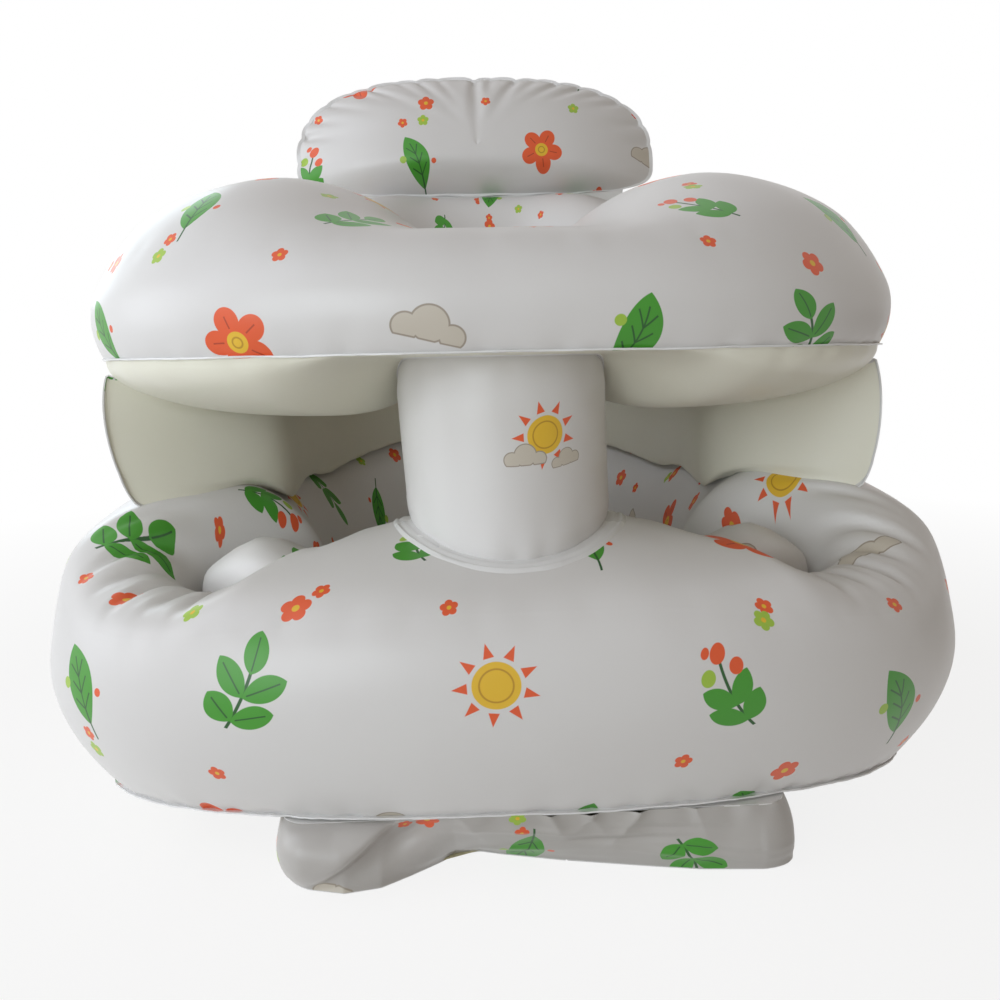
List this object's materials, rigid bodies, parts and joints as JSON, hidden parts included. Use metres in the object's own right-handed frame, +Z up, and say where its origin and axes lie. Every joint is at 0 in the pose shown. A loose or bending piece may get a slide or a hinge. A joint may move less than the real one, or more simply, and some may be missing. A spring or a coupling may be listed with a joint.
{
  "type": "baby floor seat",
  "caption": "Inflatable baby floor seat: wide base ring with leg wells, crotch post, side wall, upper ring, tilting headrest and a foam air pump under the front.",
  "frame": {"origin": "centre of the bounding box's bottom, on the floor", "axes": "+Z up, the front where the legs go through faces -Y, +X to the right seen from the front"},
  "size_m": [0.4534, 0.3934, 0.4056],
  "materials": {
    "printed_film": "soft white vinyl film with a sparse print, satin gloss",
    "plain_film": "plain cream vinyl film, satin gloss",
    "held_air": "air under pressure inside the film",
    "weld": "pressed double film at the welds",
    "foam": "open cell foam",
    "flap_film": "thin clear flap",
    "clear_vinyl": "milky moulded vinyl"
  },
  "bodies": {
    "seat": {"base_top_sheet": "printed_film", "base_side_band": "printed_film", "base_bottom_sheet": "plain_film", "base_air": "held_air", "seat_top_sheet": "printed_film", "seat_bottom_sheet": "plain_film", "seat_air": "held_air", "post_film": "printed_film", "post_air": "held_air", "post_lower_weld": "weld", "post_upper_weld": "weld", "wall_outer_sheet": "printed_film", "wall_inner_sheet": "plain_film", "wall_air": "held_air", "ring_top_sheet": "printed_film", "ring_side_band": "printed_film", "ring_bottom_sheet": "plain_film", "ring_air": "held_air", "headrest_hinge_strip": "weld", "base_valve_flange": "clear_vinyl", "ring_valve_flange": "clear_vinyl", "pump_top_sheet": "printed_film", "pump_skirt": "printed_film", "pump_foam": "foam"},
    "headrest": {"headrest_weld_rim": "weld", "headrest_front_sheet": "printed_film", "headrest_back_sheet": "printed_film", "headrest_air": "held_air", "headrest_valve_flange": "clear_vinyl"},
    "pump_plate": {"pump_press_sheet": "printed_film", "pump_intake_ring": "clear_vinyl"},
    "pump_flap": {"pump_intake_flap": "flap_film"},
    "base_stem": {"base_valve_stem": "clear_vinyl"},
    "base_plug": {"base_valve_plug": "clear_vinyl"},
    "base_flap": {"base_valve_flap": "flap_film"},
    "ring_stem": {"ring_valve_stem": "clear_vinyl"},
    "ring_plug": {"ring_valve_plug": "clear_vinyl"},
    "ring_flap": {"ring_valve_flap": "flap_film"},
    "headrest_stem": {"headrest_valve_stem": "clear_vinyl"},
    "headrest_plug": {"headrest_valve_plug": "clear_vinyl"},
    "headrest_flap": {"headrest_valve_flap": "flap_film"}
  },
  "joints": [
    {"name": "headrest_tilt", "type": "hinge", "parent": "seat", "child": "headrest", "pos_m": [0, 0.11836, 0.32625], "axis": [1, 0, 0], "range_deg": [-45, 20], "stiffness_Nm_per_rad": 0.4},
    {"name": "pump_press", "type": "slide", "parent": "seat", "child": "pump_plate", "axis": [0, 0, 1], "range_m": [0, 0.012], "stiffness_N_per_m": 2500, "deforming": ["pump_foam", "pump_skirt"]},
    {"name": "pump_flap_swing", "type": "hinge", "parent": "pump_plate", "child": "pump_flap", "pos_m": [0.05765, -0.14014, 0.0031], "axis": [0, -1, 0], "range_deg": [0, 35], "stiffness_Nm_per_rad": 0.0005},
    {"name": "base_valve_pull_out", "type": "slide", "parent": "seat", "child": "base_stem", "axis": [0, 1, 0], "range_m": [0, 0.013]},
    {"name": "base_plug_pull", "type": "slide", "parent": "base_stem", "child": "base_plug", "axis": [0, 1, 0], "range_m": [0, 0.01]},
    {"name": "base_flap_swing", "type": "hinge", "parent": "base_stem", "child": "base_flap", "pos_m": [-0.00635, 0.17737, 0.077], "axis": [0, 0, -1], "range_deg": [0, 60], "stiffness_Nm_per_rad": 0.0005},
    {"name": "ring_valve_pull_out", "type": "slide", "parent": "seat", "child": "ring_stem", "axis": [0, 1, 0], "range_m": [0, 0.013]},
    {"name": "ring_plug_pull", "type": "slide", "parent": "ring_stem", "child": "ring_plug", "axis": [0, 1, 0], "range_m": [0, 0.01]},
    {"name": "ring_flap_swing", "type": "hinge", "parent": "ring_stem", "child": "ring_flap", "pos_m": [-0.00635, 0.13664, 0.2415], "axis": [0, 0, -1], "range_deg": [0, 60], "stiffness_Nm_per_rad": 0.0005},
    {"name": "headrest_valve_pull_out", "type": "slide", "parent": "headrest", "child": "headrest_stem", "axis": [0, 0.9903, -0.1392], "range_m": [0, 0.013]},
    {"name": "headrest_plug_pull", "type": "slide", "parent": "headrest_stem", "child": "headrest_plug", "axis": [0, 0.9903, -0.1392], "range_m": [0, 0.01]},
    {"name": "headrest_flap_swing", "type": "hinge", "parent": "headrest_stem", "child": "headrest_flap", "pos_m": [-0.00635, 0.13134, 0.35618], "axis": [0, -0.1392, -0.9903], "range_deg": [0, 60], "stiffness_Nm_per_rad": 0.0005}
  ]
}
